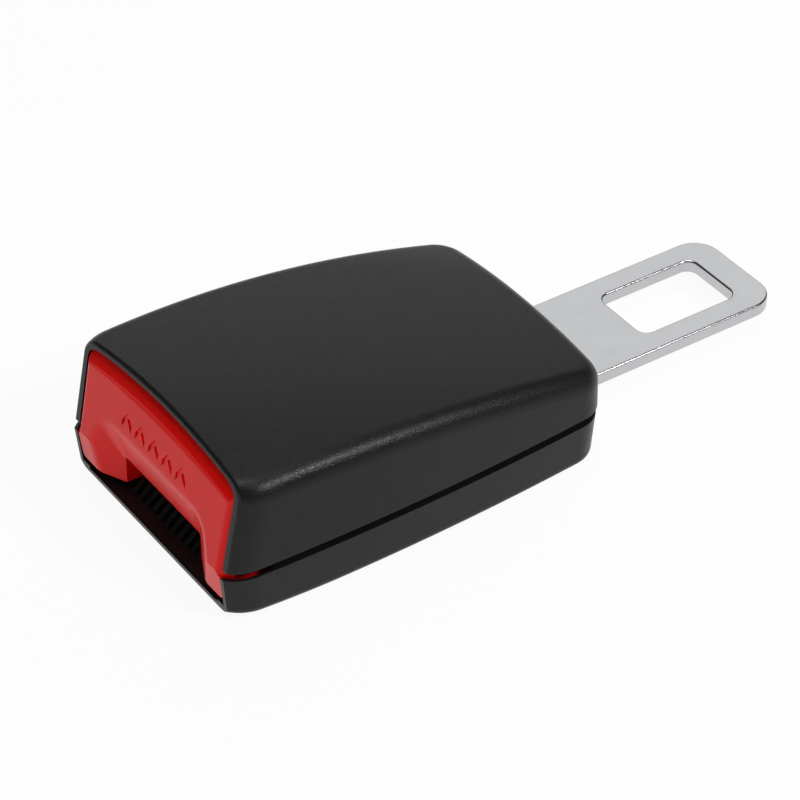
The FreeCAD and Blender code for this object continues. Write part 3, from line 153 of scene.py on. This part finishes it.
# %% [markdown]
# ## Cover plastic
# The two covers are black ABS from a spark-eroded mould. Such a mould leaves pits a few tenths of a millimetre
# wide: they can't be seen on the flat of a panel, but they break a highlight into sparks along a rounding. A
# picture of grain would need a UV map on every CAD node. Two layers of noise on Object coordinates, one for the
# pits and one for the finer frosting between them, follow any shape and keep their real size.

# %% Cover plastic
PIT = 0.00024
FROST = 0.00012
PIT_DEPTH = 0.000026
COVER_CLOUD = 0.015

cover = Finish("cover_grain", Specular_IOR_Level=0.2)
pits = cover.noise(PIT, 0.0).step(0.3, 0.7)
frosting = cover.noise(FROST, 0.0)
cover.set(
    Base_Color=cover.mix(cover.noise(COVER_CLOUD, 3.0), sheet_colour(22, 22, 23), sheet_colour(27, 27, 28)),
    Roughness=0.30 + 0.08 * pits,
    Normal=cover.bump(0.7 * pits + 0.3 * frosting, PIT_DEPTH),
)
print("cover pits", PIT * 1000, "mm wide")

# %% [markdown]
# ## Button plastic
# The push button is moulded in a full red that stays the same all through, from a mould that was only sanded.
# It is smoother than the covers: the white floor shows in it as a pale haze. A faint waviness of a few
# millimetres, from the way such a thick piece shrinks, keeps that haze from looking like a flat tint.

# %% Button plastic
SHRINK_WAVE = 0.006
SANDING = 0.0003
BUTTON_CLOUD = 0.008
BUTTON_RELIEF = 0.00006

button = Finish("button_red", Specular_IOR_Level=0.2)
shrink = button.noise(SHRINK_WAVE)
sanding = button.noise(SANDING)
button.set(
    Base_Color=button.mix(button.noise(BUTTON_CLOUD), sheet_colour(250, 18, 10), sheet_colour(244, 15, 8)),
    Roughness=0.27 + 0.08 * sanding,
    Normal=button.bump(0.9 * shrink + 0.1 * sanding, BUTTON_RELIEF),
)
print("button waves", SHRINK_WAVE * 1000, "mm long")

# %% [markdown]
# ## Metals
# The tongue is stamped steel with a satin nickel plate. Rolling leaves fine lines along the strip, so its noise
# is stretched along x, and it moves the roughness more than the colour. The hidden metals each get their own
# look in the same way: a zinc-plated frame, blued springs and black screws.

# %% Metals
ROLLING_WIDTH = 0.0006
ROLLING_STRETCH = (12.0, 1.0, 1.0)
ROLLING_DEPTH = 0.000004
NICKEL_CLOUD = 0.004
SPANGLE = 0.003
ZINC_GRAIN = 0.0008
HEAT_TINT = 0.002
OXIDE_GRAIN = 0.0005
ETCH_DEPTH = 0.00001

tongue = Finish("tongue_nickel", Metallic=1.0)
rolling = tongue.noise(ROLLING_WIDTH, 3.0, ROLLING_STRETCH)
cloud = tongue.noise(NICKEL_CLOUD)
tongue.set(
    Base_Color=tongue.mix(cloud, sheet_colour(196, 197, 199), sheet_colour(187, 188, 190)),
    Roughness=0.16 + 0.10 * rolling,
    Normal=tongue.bump(rolling, ROLLING_DEPTH),
)

zinc = Finish("frame_zinc", Metallic=1.0)
spangle = zinc.noise(SPANGLE)
zinc.set(
    Base_Color=zinc.mix(spangle, sheet_colour(196, 196, 190), sheet_colour(170, 172, 172)),
    Roughness=0.26 + 0.16 * spangle,
    Normal=zinc.bump(zinc.noise(ZINC_GRAIN), ETCH_DEPTH),
)

spring = Finish("spring_blued", Metallic=1.0)
heat = spring.noise(HEAT_TINT)
spring.set(
    Base_Color=spring.mix(heat, sheet_colour(92, 94, 100), sheet_colour(128, 126, 122)),
    Roughness=0.24 + 0.12 * heat,
)

screw = Finish("screw_black", Metallic=1.0)
oxide = screw.noise(OXIDE_GRAIN, 3.0)
screw.set(
    Base_Color=screw.mix(oxide, sheet_colour(70, 70, 72), sheet_colour(104, 104, 106)),
    Roughness=0.30 + 0.18 * oxide,
    Normal=screw.bump(oxide, ETCH_DEPTH),
)

# %% [markdown]
# ## Slider plastic
# The ejector slides on the frame, so it is nylon, not ABS: black, a little waxy, with no mould grain.

# %% Slider plastic
WAX_PATCH = 0.002

slider = Finish("ejector_nylon", Specular_IOR_Level=0.4)
wax = slider.noise(WAX_PATCH)
slider.set(
    Base_Color=slider.mix(wax, sheet_colour(22, 22, 23), sheet_colour(30, 30, 31)),
    Roughness=0.34 + 0.12 * wax,
)

# %% [markdown]
# ## One finish for each slot
# Every CAD node came with a named slot in place of a material. A table from slot to finish keeps the two lists
# side by side, and shows at once a slot that was forgotten.

# %% Finishes on the CAD nodes
FINISH_OF_SLOT = {
    "cover_plastic": cover,
    "button_plastic": button,
    "ejector_plastic": slider,
    "frame_steel": zinc,
    "tongue_steel": tongue,
    "spring_steel": spring,
    "screw_steel": screw,
}
for name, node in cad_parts.items():
    for index, material in enumerate(node.data.materials):
        slot = material.name.split(".")[0]
        node.data.materials[index] = FINISH_OF_SLOT[slot].material
        print(name, "in", slot)

# %% [markdown]
# ## Floor and light
# The picture is a cut-out on white, but its lights can be read off the surfaces. The bevel over the button fades
# from dark red under the roof's edge to bright red at its crease, so the main light hangs overhead and the roof
# shades the bevel. The roof and the tongue mirror a large soft panel beyond the tongue. A band of sparks runs
# along the near rounding, so a small lamp stands to the camera's right. The sides and the button's face show a
# bright floor. A weak lamp in front lifts the red, and the white room is almost dark.
#
# The floor is paper. What the camera and the metal see of it is mostly a plain white glow, mixed in by Light
# Path, so that the paper is white in the picture and still takes a faint shadow, and no lamp has to be turned up.


# %% Floor
def grid_mesh(name, points):
    """A mesh from an array of points, rows by columns by 3, with a face between each four neighbours."""
    rows, columns = points.shape[:2]
    index = np.arange(rows * columns).reshape(rows, columns)
    corners = (index[:-1, :-1], index[1:, :-1], index[1:, 1:], index[:-1, 1:])
    faces = np.stack(corners, axis=-1).reshape(-1, 4)
    mesh = bpy.data.meshes.new(name)
    mesh.from_pydata(points.reshape(-1, 3).tolist(), [], faces.tolist())
    mesh.update()
    thing = bpy.data.objects.new(name, mesh)
    bpy.context.scene.collection.objects.link(thing)
    return thing


FLOOR_REACH = 3.0
FLOOR_LINES = 3
PAPER_GLOW = 0.93

span = np.linspace(-FLOOR_REACH, FLOOR_REACH, FLOOR_LINES)
floor_x, floor_y = np.meshgrid(span, span, indexing="ij")
floor = grid_mesh("studio_floor", np.stack([floor_x, floor_y, 0.0 * floor_x], axis=-1))
paper = Finish("floor_paper", Base_Color=(0.9, 0.9, 0.9), Roughness=0.7)


def seen_directly(finish):
    """1 for rays from the camera, off a gloss or through glass, else 0."""
    path = [finish.node("ShaderNodeLightPath", {}, output=f"Is {kind} Ray")
            for kind in ("Camera", "Glossy", "Transmission")]
    return (path[0] + path[1] + path[2]).clamped()


glow = paper.node("ShaderNodeEmission", {}, Color=(1.0, 1.0, 1.0, 1.0), Strength=1.0)
lit = Wire(paper, paper.shader.outputs["BSDF"])
paper.feed(
    paper.output.inputs["Surface"],
    paper.node("ShaderNodeMixShader", {}, PAPER_GLOW * seen_directly(paper), lit, glow),
)
floor.data.materials.append(paper.material)

# %% [markdown]
# ## Room and lamps
# The room is only a level of white: full for the camera, so that the picture's background is white, and almost
# dark for everything else. Each lamp is a soft rectangle, placed by the direction in which the object sees it.
# All four face the object's middle, so a lamp is moved by changing one vector.

# %% Room and lamps
ROOM_LEVEL = 0.05

world = bpy.data.worlds.new("studio_room")
world.use_nodes = True
bpy.context.scene.world = world
room = world.node_tree
room_path = room.nodes.new("ShaderNodeLightPath")
room_level = room.nodes.new("ShaderNodeMapRange")
room_level.inputs["To Min"].default_value = ROOM_LEVEL
room_level.inputs["To Max"].default_value = 1.0
room.links.new(room_path.outputs["Is Camera Ray"], room_level.inputs["Value"])
room.nodes["Background"].inputs["Color"].default_value = (1.0, 1.0, 1.0, 1.0)
room.links.new(room_level.outputs["Result"], room.nodes["Background"].inputs["Strength"])

MIDDLE = Vector((-0.01, 0.0, 0.012))


def softbox(name, direction, distance, width, height, power):
    """A rectangular area lamp that faces the object from a direction and a distance."""
    data = bpy.data.lights.new(name, "AREA")
    data.shape = "RECTANGLE"
    data.size = width
    data.size_y = height
    data.energy = power
    lamp = bpy.data.objects.new(name, data)
    away = Vector(direction).normalized()
    lamp.location = MIDDLE + distance * away
    lamp.rotation_euler = (-away).to_track_quat("-Z", "Y").to_euler()
    bpy.context.scene.collection.objects.link(lamp)
    print(name, "at", [round(v, 2) for v in lamp.location])


softbox("key_softbox", (0.38, -0.62, 0.65), distance=1.2, width=0.25, height=0.25, power=8.5)
softbox("rear_panel", (0.50, 0.66, 0.55), distance=1.3, width=1.3, height=0.9, power=3.7)
softbox("top_panel", (0.05, 0.0, 1.0), distance=1.3, width=0.7, height=0.7, power=6.2)
softbox("front_fill", (-0.95, -0.25, 0.14), distance=1.2, width=0.8, height=0.3, power=2.0)
